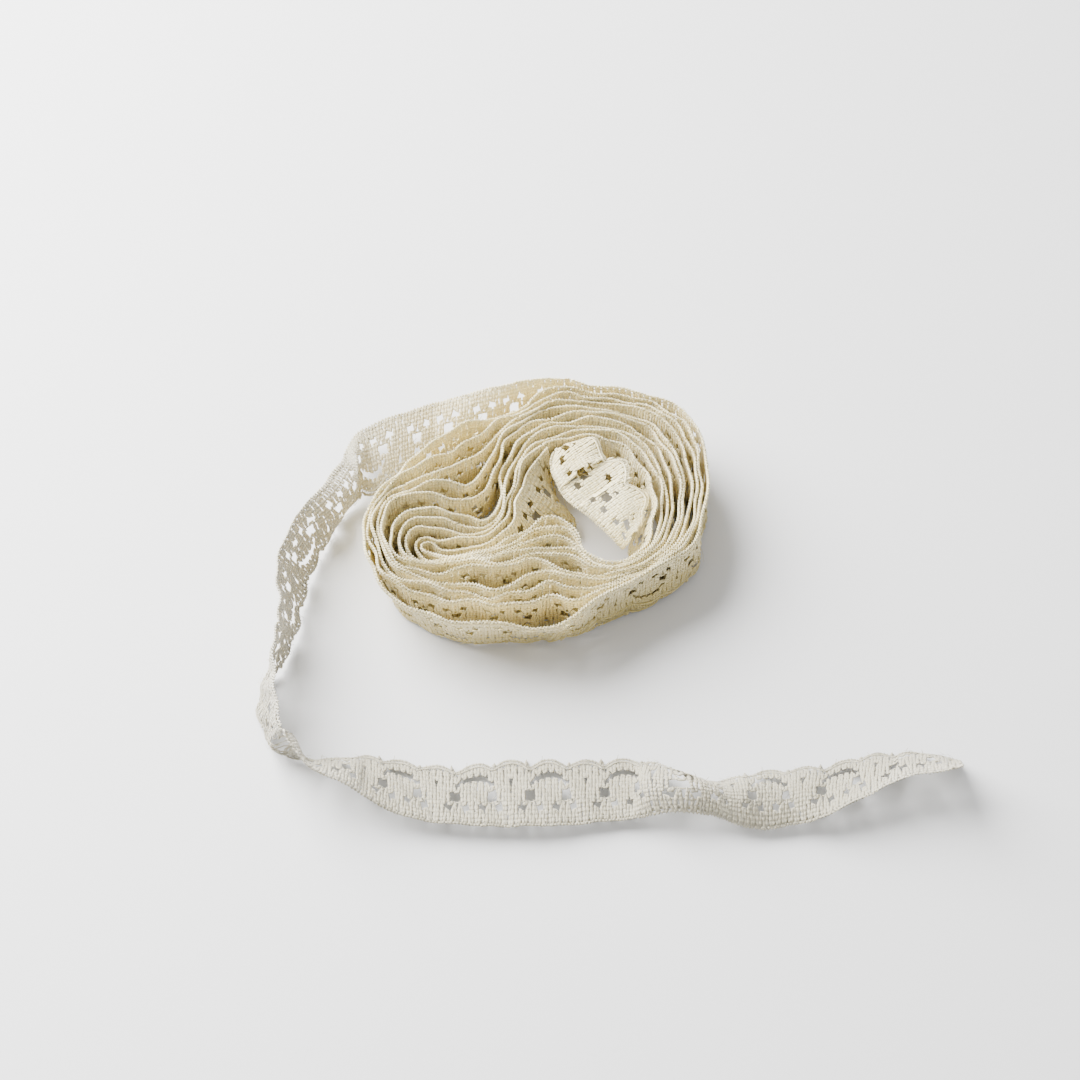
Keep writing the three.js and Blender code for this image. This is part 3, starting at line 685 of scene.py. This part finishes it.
class Bench:
    def __init__(self, tree):
        self.tree = tree

    def node(self, kind, settings=None, inputs=None, output=0):
        made = self.tree.nodes.new(kind)
        for name, value in (settings or {}).items():
            setattr(made, name, value)
        for name, value in (inputs or {}).items():
            socket = made.inputs[name]
            if isinstance(value, Wire):
                self.tree.links.new(value.socket, socket)
            else:
                socket.default_value = value
        return Wire(self, made.outputs[output])


print("the bench is ready")

# %% [markdown]
# ## Laying the lace
#
# The tree copies the flat repeat along a line, makes it uneven, cuts off what lies beyond the
# strip's two ends, and moves each point of yarn to where the guide says. Only then is the yarn
# given its thickness, so it isn't squeezed where the strip bends sharply. An array with a curve
# modifier could bend the repeat too, but not along a band that leans, bulges and twists.

# %% The tree's inputs and two small helpers
LAY_INPUTS = [
    ("Guide", "NodeSocketObject"), ("Repeat", "NodeSocketObject"), ("Copies", "NodeSocketInt"),
    ("Start", "NodeSocketFloat"), ("Repeat length", "NodeSocketFloat"),
    ("Strip length", "NodeSocketFloat"), ("Lace width", "NodeSocketFloat"),
    ("Yarn radius", "NodeSocketFloat"), ("Yarn sides", "NodeSocketInt"),
    ("Unevenness", "NodeSocketFloat"), ("Seed", "NodeSocketFloat"),
    ("Painted glow at start", "NodeSocketFloat"), ("Painted glow fades over", "NodeSocketFloat"),
    ("Material", "NodeSocketMaterial"),
]


def store(bench, yarn, name, value, kind):
    return bench.node("GeometryNodeStoreNamedAttribute", {"data_type": kind, "domain": "POINT"},
                      {"Geometry": yarn, "Name": name, "Value": value})


def stored(bench, name, kind):
    return bench.node("GeometryNodeInputNamedAttribute", {"data_type": kind}, {"Name": name})


print(len(LAY_INPUTS), "inputs")

# %% [markdown]
# First come the copies. They are made real at once, because the cut and the bend below treat each
# point of yarn by itself.

# %% Copies of the repeat along a line
def copied_repeat(bench, given):
    repeat = bench.node("GeometryNodeObjectInfo", {}, {"Object": given["Repeat"]}, "Geometry")
    start = bench.node("ShaderNodeCombineXYZ", {}, {"X": given["Start"]})
    stride = bench.node("ShaderNodeCombineXYZ", {}, {"X": given["Repeat length"]})
    line = bench.node("GeometryNodeMeshLine", {"mode": "OFFSET"},
                      {"Count": given["Copies"], "Start Location": start, "Offset": stride})
    copies = bench.node("GeometryNodeInstanceOnPoints", {}, {"Points": line, "Instance": repeat})
    return bench.node("GeometryNodeRealizeInstances", {}, {"Geometry": copies})


print("the repeat is copied")

# %% [markdown]
# Real yarn is never where the pattern says. Two layers of noise, one slow and one of the size of
# a stitch, shift each point in the lace's plane. Off the plane they shift it much less: where the
# lace is seen nearly edge on, ribs at different heights would open slits between them. A third
# noise makes the yarn swell and thin.

# %% Uneven yarn
SHIFTS = ((240.0, 1.0), (1000.0, 0.7))
OFF_PLANE = 0.2
SWELL_SCALE, SWELL, THINNEST = 700.0, 0.8, 0.6


def uneven_place(bench, place, given):
    uneven = place
    for fineness, strength in SHIFTS:
        grain = {"Vector": place, "W": given["Seed"], "Scale": fineness, "Detail": 1.0}
        noise = bench.node("ShaderNodeTexNoise", {"noise_dimensions": "4D"}, grain, "Color")
        shift = bench.node("ShaderNodeVectorMath", {"operation": "SUBTRACT"},
                           {0: noise, 1: (0.5, 0.5, 0.5)})
        shift = bench.node("ShaderNodeVectorMath", {"operation": "MULTIPLY"},
                           {0: shift, 1: (strength, strength, OFF_PLANE * strength)})
        shift = bench.node("ShaderNodeVectorMath", {"operation": "SCALE"},
                           {0: shift, "Scale": given["Unevenness"]})
        uneven = bench.node("ShaderNodeVectorMath", {"operation": "ADD"}, {0: uneven, 1: shift})
    return uneven


def uneven_thickness(bench, place, given):
    grain = {"Vector": place, "W": given["Seed"] + 7.0, "Scale": SWELL_SCALE}
    swell = bench.node("ShaderNodeTexNoise", {"noise_dimensions": "4D"}, grain, "Fac")
    return bench.node("GeometryNodeInputRadius") * (swell * SWELL + THINNEST)


print("the yarn is uneven by", len(SHIFTS), "shifts and a swell")

# %% [markdown]
# The strip is cut at both ends by deleting the points beyond them. A yarn that keeps a single
# point can't be a tube, and would leave two caps on one ring, so it is deleted too.

# %% Cut the strip to its length
def cut_to_length(bench, yarn, along, given):
    beyond = (along < 0.0) + (along > given["Strip length"])
    yarn = bench.node("GeometryNodeDeleteGeometry", {"domain": "POINT"},
                      {"Geometry": yarn, "Selection": beyond})
    points_left = bench.node("GeometryNodeSplineLength", {}, {}, "Point Count")
    return bench.node("GeometryNodeDeleteGeometry", {"domain": "CURVE"},
                      {"Geometry": yarn, "Selection": points_left < 2.0})


print("the ends are cut")

# %% [markdown]
# Sample UV Surface does the bending. It takes a point's flat place, finds the same spot in the
# guide's flat map, and reads the guide's position there. A look-up exactly on the map's rim can
# miss, so flat places keep a hair's breadth off it. What stands off the face is added along the
# direction in which the lace faces, and that direction also becomes the curve's normal, so that
# a flat section lies in the lace's plane.

# %% Bend the yarn to the guide
RIM = 0.0001


def bent_to_guide(bench, yarn, given):
    guide = bench.node("GeometryNodeObjectInfo", {}, {"Object": given["Guide"]}, "Geometry")
    drawn = stored(bench, "flat_place", "FLOAT_VECTOR")
    along, across, off = [bench.node("ShaderNodeSeparateXYZ", {}, {"Vector": drawn}, axis)
                          for axis in "XYZ"]
    low, high = float(ACROSS[0]), float(ACROSS[-1])
    flat = bench.node("ShaderNodeCombineXYZ", {}, {
        "X": along / given["Strip length"],
        "Y": (across / given["Lace width"] - low) / (high - low)})
    flat = bench.node("ShaderNodeVectorMath", {"operation": "MINIMUM"},
                      {0: flat, 1: (1 - RIM, 1 - RIM, 1.0)})
    flat = bench.node("ShaderNodeVectorMath", {"operation": "MAXIMUM"},
                      {0: flat, 1: (RIM, RIM, 0.0)})

    def on_guide(value):
        return bench.node("GeometryNodeSampleUVSurface", {"data_type": "FLOAT_VECTOR"}, {
            "Mesh": guide, "Value": value, "UV Map": stored(bench, "flat", "FLOAT_VECTOR"),
            "Sample UV": flat})

    facing = on_guide(stored(bench, "facing", "FLOAT_VECTOR"))
    stand_off = bench.node("ShaderNodeVectorMath", {"operation": "SCALE"},
                           {0: facing, "Scale": off})
    target = bench.node("ShaderNodeVectorMath", {"operation": "ADD"},
                        {0: on_guide(bench.node("GeometryNodeInputPosition")), 1: stand_off})
    yarn = bench.node("GeometryNodeSetPosition", {}, {"Geometry": yarn, "Position": target})
    return bench.node("GeometryNodeSetCurveNormal", {"mode": "FREE"},
                      {"Curve": yarn, "Normal": facing})


print("the yarn is bent")

# %% [markdown]
# Pressed lace yarn is wider than it is thick, so its section is a flattened ring, with two of its
# corners in the lace's plane. A quarter turn puts them there. Neighbouring ribs then meet edge to
# edge and close the face, as they do in the real lace. The tree ends in Realize Instances and Set
# Material.

# %% Give the yarn its thickness
FLAT_SECTION = (1.3, 0.52, 1.0)
QUARTER_TURN = (0.0, 0.0, math.pi / 2)


def thick_yarn(bench, yarn, given):
    section = bench.node("GeometryNodeCurvePrimitiveCircle", {"mode": "RADIUS"},
                         {"Resolution": given["Yarn sides"], "Radius": given["Yarn radius"]})
    section = bench.node("GeometryNodeTransform", {}, {
        "Geometry": section, "Rotation": QUARTER_TURN, "Scale": FLAT_SECTION})
    return bench.node("GeometryNodeCurveToMesh", {}, {
        "Curve": yarn, "Profile Curve": section, "Fill Caps": True,
        "Scale": stored(bench, "thickness", "FLOAT")})


def lay_lace_tree():
    tree = bpy.data.node_groups.new("lay_lace", "GeometryNodeTree")
    tree.interface.new_socket("Lace", in_out="OUTPUT", socket_type="NodeSocketGeometry")
    for name, kind in LAY_INPUTS:
        tree.interface.new_socket(name, in_out="INPUT", socket_type=kind)
    bench = Bench(tree)
    source = tree.nodes.new("NodeGroupInput")
    given = {name: Wire(bench, source.outputs[name]) for name, kind in LAY_INPUTS}
    place = bench.node("GeometryNodeInputPosition")
    along = bench.node("ShaderNodeSeparateXYZ", {}, {"Vector": place}, "X")
    # Painted glow: 1 where a piece starts, fading along the strip, stored for the colour only.
    warmth = given["Painted glow at start"] - along / given["Painted glow fades over"]
    yarn = copied_repeat(bench, given)
    yarn = store(bench, yarn, "thickness", uneven_thickness(bench, place, given), "FLOAT")
    yarn = store(bench, yarn, "flat_place", uneven_place(bench, place, given), "FLOAT_VECTOR")
    yarn = store(bench, yarn, "warmth", warmth, "FLOAT")
    yarn = cut_to_length(bench, yarn, along, given)
    yarn = bent_to_guide(bench, yarn, given)
    lace = thick_yarn(bench, yarn, given)
    lace = bench.node("GeometryNodeRealizeInstances", {}, {"Geometry": lace})
    lace = bench.node("GeometryNodeSetMaterial", {},
                      {"Geometry": lace, "Material": given["Material"]})
    result = tree.nodes.new("NodeGroupOutput")
    tree.links.new(lace.socket, result.inputs["Lace"])
    return tree


lay_lace = lay_lace_tree()
print(len(lay_lace.nodes), "nodes lay the lace")

# %% [markdown]
# ## The yarn's finish, with painted glow and painted shade
#
# The yarn is soft cream thread. Inside the roll light passes through many layers and turns a warm
# yellow, deeper towards the table, while a single layer on the table looks cooler and greyer. That
# glow and that shade are painted into the colour. So there are two sets of colours, mixed by the
# painted glow that the tree has stored on the yarn, and each set has a low colour, which is painted
# shade, for what lies near the table. Within a set, slow patches of tone and a stitch pattern go
# between pale and deep, and the stitch pattern darkens bands as painted shade between stitches. The
# stitch pattern is a sine wave across the strip that reads the yarn's stored flat place. An image
# could hold all this, but would need a flat map.

# %% The yarn's colours, with painted glow and painted shade
# The warm set has painted glow, the yellow of light through many layers of the roll; in both sets
# the low colour is painted shade near the table.
PAINTED_GLOW_COLOURS = {"pale": (0.98, 0.875, 0.55, 1), "deep": (0.74, 0.61, 0.28, 1),
        "low": (0.50, 0.39, 0.12, 1)}
COOL = {"pale": (0.69, 0.65, 0.53, 1), "deep": (0.24, 0.215, 0.155, 1),
        "low": (0.35, 0.32, 0.23, 1)}
PATCH_SCALE = 60.0
# The stitch share paints shade: bands along the stitch wave go towards the deep colour.
PATCHY, PAINTED_STITCH_SHADE, PALER = 0.8, 0.5, 0.2
# The low colour is painted shade: mostly there below 4 mm, gone above 13.5 mm.
PAINTED_LOW_SHADE_RANGE = {"From Min": 0.0135, "From Max": 0.004, "To Min": 0.0, "To Max": 0.85}
STITCH_WANDER = 4.0


def mixed(bench, factor, first, second):
    return bench.node("ShaderNodeMix", {"data_type": "RGBA"}, {0: factor, 6: first, 7: second}, 2)


def stitch_pattern(bench, threads):
    flat = bench.node("ShaderNodeAttribute", {"attribute_name": "flat_place"}, {}, "Vector")
    across = bench.node("ShaderNodeSeparateXYZ", {}, {"Vector": flat}, "Y")
    turned = across * (2 * math.pi / (STITCH * MM)) + threads * STITCH_WANDER
    return bench.node("ShaderNodeMath", {"operation": "SINE"}, {0: turned}) * 0.5 + 0.5


def yarn_colour(bench, place, stitch):
    patches = bench.node("ShaderNodeTexNoise", {},
                         {"Vector": place, "Scale": PATCH_SCALE, "Detail": 2.0})
    height = bench.node("ShaderNodeSeparateXYZ", {}, {"Vector": place}, "Z")
    # Painted shade: darker and yellower towards the table, by height.
    painted_low_shade = bench.node("ShaderNodeMapRange", {"interpolation_type": "SMOOTHSTEP"},
                       {"Value": height, **PAINTED_LOW_SHADE_RANGE})
    # Painted glow: the stored share picks the warm colours.
    warmth = bench.node("ShaderNodeAttribute", {"attribute_name": "warmth"}, {}, "Fac")
    pale, deep, low = [mixed(bench, warmth, COOL[key], PAINTED_GLOW_COLOURS[key]) for key in PAINTED_GLOW_COLOURS]
    # Random patches of tone, plus painted shade in bands along the stitch wave.
    face = mixed(bench, patches * PATCHY + stitch * PAINTED_STITCH_SHADE - PALER, pale, deep)
    return mixed(bench, painted_low_shade, face, low)


print("colours:", ", ".join(PAINTED_GLOW_COLOURS))

# %% [markdown]
# A fine thread noise drives the roughness, and with the stitch pattern the bump. Sheen gives the
# pale bloom that fibres have at the edge of a form, and a little subsurface light, which goes about
# as deep as a yarn is wide, keeps the shadows between ribs from going grey. Those are the same all
# over, so they are set on the shader itself. All patterns read Object coordinates or the yarn's
# own attributes, so they stay with the lace in every view.

# %% The yarn material
THREAD_SCALE = 1500.0
BUMP = {"Strength": 0.9, "Distance": 0.0002}
SMOOTHEST, ROUGHER = 0.45, 0.2
SHADER_VALUES = {
    "Sheen Weight": 0.2, "Sheen Roughness": 0.5, "Specular IOR Level": 0.4,
    "Subsurface Weight": 0.3, "Subsurface Radius": (1.0, 0.9, 0.65), "Subsurface Scale": 0.0005,
}


def yarn_material(name):
    material = bpy.data.materials.new(name)
    material.use_nodes = True
    bench = Bench(material.node_tree)
    place = bench.node("ShaderNodeTexCoord", {}, {}, "Object")
    threads = bench.node("ShaderNodeTexNoise", {}, {"Vector": place, "Scale": THREAD_SCALE})
    stitch = stitch_pattern(bench, threads)
    bump = bench.node("ShaderNodeBump", {}, {"Height": threads * 0.5 + stitch * 0.5, **BUMP})
    shader = material.node_tree.nodes["Principled BSDF"]
    varying = {"Base Color": yarn_colour(bench, place, stitch), "Normal": bump,
               "Roughness": threads * ROUGHER + SMOOTHEST}
    for socket, wire in varying.items():
        material.node_tree.links.new(wire.socket, shader.inputs[socket])
    for socket, value in SHADER_VALUES.items():
        shader.inputs[socket].default_value = value
    return material


lace_yarn = yarn_material("lace_yarn")
print("material:", lace_yarn.name, "with", len(lace_yarn.node_tree.nodes), "nodes")

# %% [markdown]
# ## The lace, piece by piece
#
# Each piece gets a guide, a modifier with the tree, and its own inputs, which are set by each
# socket's identifier before anything is evaluated. The result is made a plain mesh, and the guide
# and the modifier are thrown away.

# %% Lay one piece of lace
UNEVENNESS = 0.55
NO_FADE = 1e6


def lay_piece(name, places, length, first_repeat, seed, repeat=flat_repeat, radius=YARN_RADIUS,
              sides=6, fade=NO_FADE):
    guide = guide_object(name + "_guide", places)
    piece = bpy.data.objects.new(name, bpy.data.meshes.new(name))
    bpy.context.scene.collection.objects.link(piece)
    laying = piece.modifiers.new("laying", "NODES")
    laying.node_group = lay_lace
    values = {
        "Guide": guide, "Repeat": repeat, "Copies": int(length / REPEAT) + 3,
        "Start": (first_repeat - REPEAT) * MM, "Repeat length": REPEAT * MM,
        "Strip length": length * MM, "Lace width": LACE_WIDTH * MM,
        "Yarn radius": radius * MM, "Yarn sides": sides, "Unevenness": UNEVENNESS * MM,
        "Seed": float(seed), "Material": lace_yarn,
        "Painted glow at start": 1.0, "Painted glow fades over": fade * MM,
    }
    for socket in lay_lace.interface.items_tree:
        if socket.in_out == "INPUT":
            laying[socket.identifier] = values[socket.name]
    seen = bpy.context.evaluated_depsgraph_get()
    mesh = bpy.data.meshes.new_from_object(piece.evaluated_get(seen))
    piece.modifiers.remove(laying)
    piece.data = mesh
    mesh.name = name
    mesh.polygons.foreach_set("use_smooth", [True] * len(mesh.polygons))
    bpy.data.objects.remove(guide)
    triangles = sum(len(face.vertices) - 2 for face in mesh.polygons)
    print(name + ":", round(length), "mm,", triangles, "triangles")
    return piece


print("lay_piece is ready")

# %% [markdown]
# The loose end and the folded end come first. The pattern's phase is set so that an arch stands
# where the real one does. The loose end carries the roll's painted glow where it leaves the roll,
# and the glow fades to the cooler colours of a single layer within a few centimetres.

# %% The loose end and the folded end
FIRST_ARCH = 1.35
FOLD_PHASE = 8.8
# The painted glow fades out along the loose end over this length.
LOOSE_FADE = 50.0
loose_lace = lay_piece("loose_lace", loose_guide, loose_length, FIRST_ARCH, seed=1,
                       fade=LOOSE_FADE)
folded_lace = lay_piece("folded_lace", folded_guide, folded_length, FOLD_PHASE, seed=2,
                        repeat=fine_repeat, radius=FINE_YARN_RADIUS)

# %% [markdown]
# The ten turns are one strip, but are laid in five pieces, so that each mesh stays light. Turns
# whose faces are mostly hidden get yarn with four sides, and only the outermost one gets six. Its
# pattern runs on into the loose end without a break.

# %% The wound turns
TURN_GROUPS = [("inner_turns", 0, 3), ("middle_turns", 3, 5), ("later_turns", 5, 7),
               ("last_turns", 7, 9), ("outer_turn", 9, 10)]
wound_pieces = []
for name, first, last in TURN_GROUPS:
    places, length = winding_guide(first * rows_in_turn, last * rows_in_turn)
    phase = (length + FIRST_ARCH) % REPEAT
    piece = lay_piece(name, places, length, phase, seed=3 + first,
                      sides=6 if last == turn_count else 4)
    wound_pieces.append((piece, length))
for repeat in (flat_repeat, fine_repeat):
    bpy.data.objects.remove(repeat)

# %% [markdown]
# ## Where each piece belongs
#
# Every piece rides on the one body and stands for the plain solid that it replaces, which is
# hidden.

# %% Tie the lace to the solid model
def declare_lace(piece, node):
    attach(piece, "root")
    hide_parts(node)


for piece, length in wound_pieces:
    declare_lace(piece, "wound_lace")
declare_lace(loose_lace, "loose_end")
declare_lace(folded_lace, "folded_inner_end")
print("tied:", len(wound_pieces) + 2, "pieces")

# %% [markdown]
# ## Table, light and camera
#
# A pale table, a wide soft light from the left and behind, a weak one from the front and an even
# white surround give the soft shadows of a bright room. A single hard lamp would show the stitches
# more clearly, but the real shadows have no sharp edge. The camera looks down at 55 degrees from
# half a metre. Its focal length is given in pixels of the frame, and turned into millimetres of
# its sensor.

# %% Table
TABLE_GREY = (0.70, 0.70, 0.70, 1)
bpy.ops.mesh.primitive_plane_add(size=6)
table = bpy.context.object
table.name = "table"
table_white = bpy.data.materials.new("table_white")
table_white.use_nodes = True
table_shader = table_white.node_tree.nodes["Principled BSDF"]
table_shader.inputs["Base Color"].default_value = TABLE_GREY
table_shader.inputs["Roughness"].default_value = 0.6
table.data.materials.append(table_white)
print("table:", table.dimensions[0], "m")

# %% Light
def soft_light(name, place, size, power):
    lamp = bpy.data.lights.new(name, "AREA")
    lamp.shape = "DISK"
    lamp.size = size
    lamp.energy = power
    holder = bpy.data.objects.new(name, lamp)
    bpy.context.scene.collection.objects.link(holder)
    holder.location = place
    to_the_roll = -mathutils.Vector(place)
    holder.rotation_euler = to_the_roll.to_track_quat("-Z", "Y").to_euler()


soft_light("window_light", (-0.38, 0.28, 0.38), size=0.65, power=29)
soft_light("fill_light", (0.3, -0.6, 0.9), size=0.9, power=2)
world = bpy.data.worlds.new("room")
world.use_nodes = True
surround = world.node_tree.nodes["Background"]
surround.inputs["Color"].default_value = (1, 1, 1, 1)
surround.inputs["Strength"].default_value = 0.72
bpy.context.scene.world = world

# %% Camera
ELEVATION = math.radians(55)
DISTANCE = 0.500
LOOK_AT = mathutils.Vector((0.009, 0.014, 0))
SENSOR_WIDTH = 36
FOCAL_PIXELS, FRAME_PIXELS = 2596, 1080
camera_data = bpy.data.cameras.new("camera")
camera_data.sensor_width = SENSOR_WIDTH
camera_data.lens = SENSOR_WIDTH * FOCAL_PIXELS / FRAME_PIXELS
camera = bpy.data.objects.new("camera", camera_data)
bpy.context.scene.collection.objects.link(camera)
back = mathutils.Vector((0, -math.cos(ELEVATION), math.sin(ELEVATION)))
camera.location = LOOK_AT + back * DISTANCE
camera.rotation_euler = (math.pi / 2 - ELEVATION, 0, 0)
bpy.context.scene.camera = camera
print("camera at", [round(v, 3) for v in camera.location])
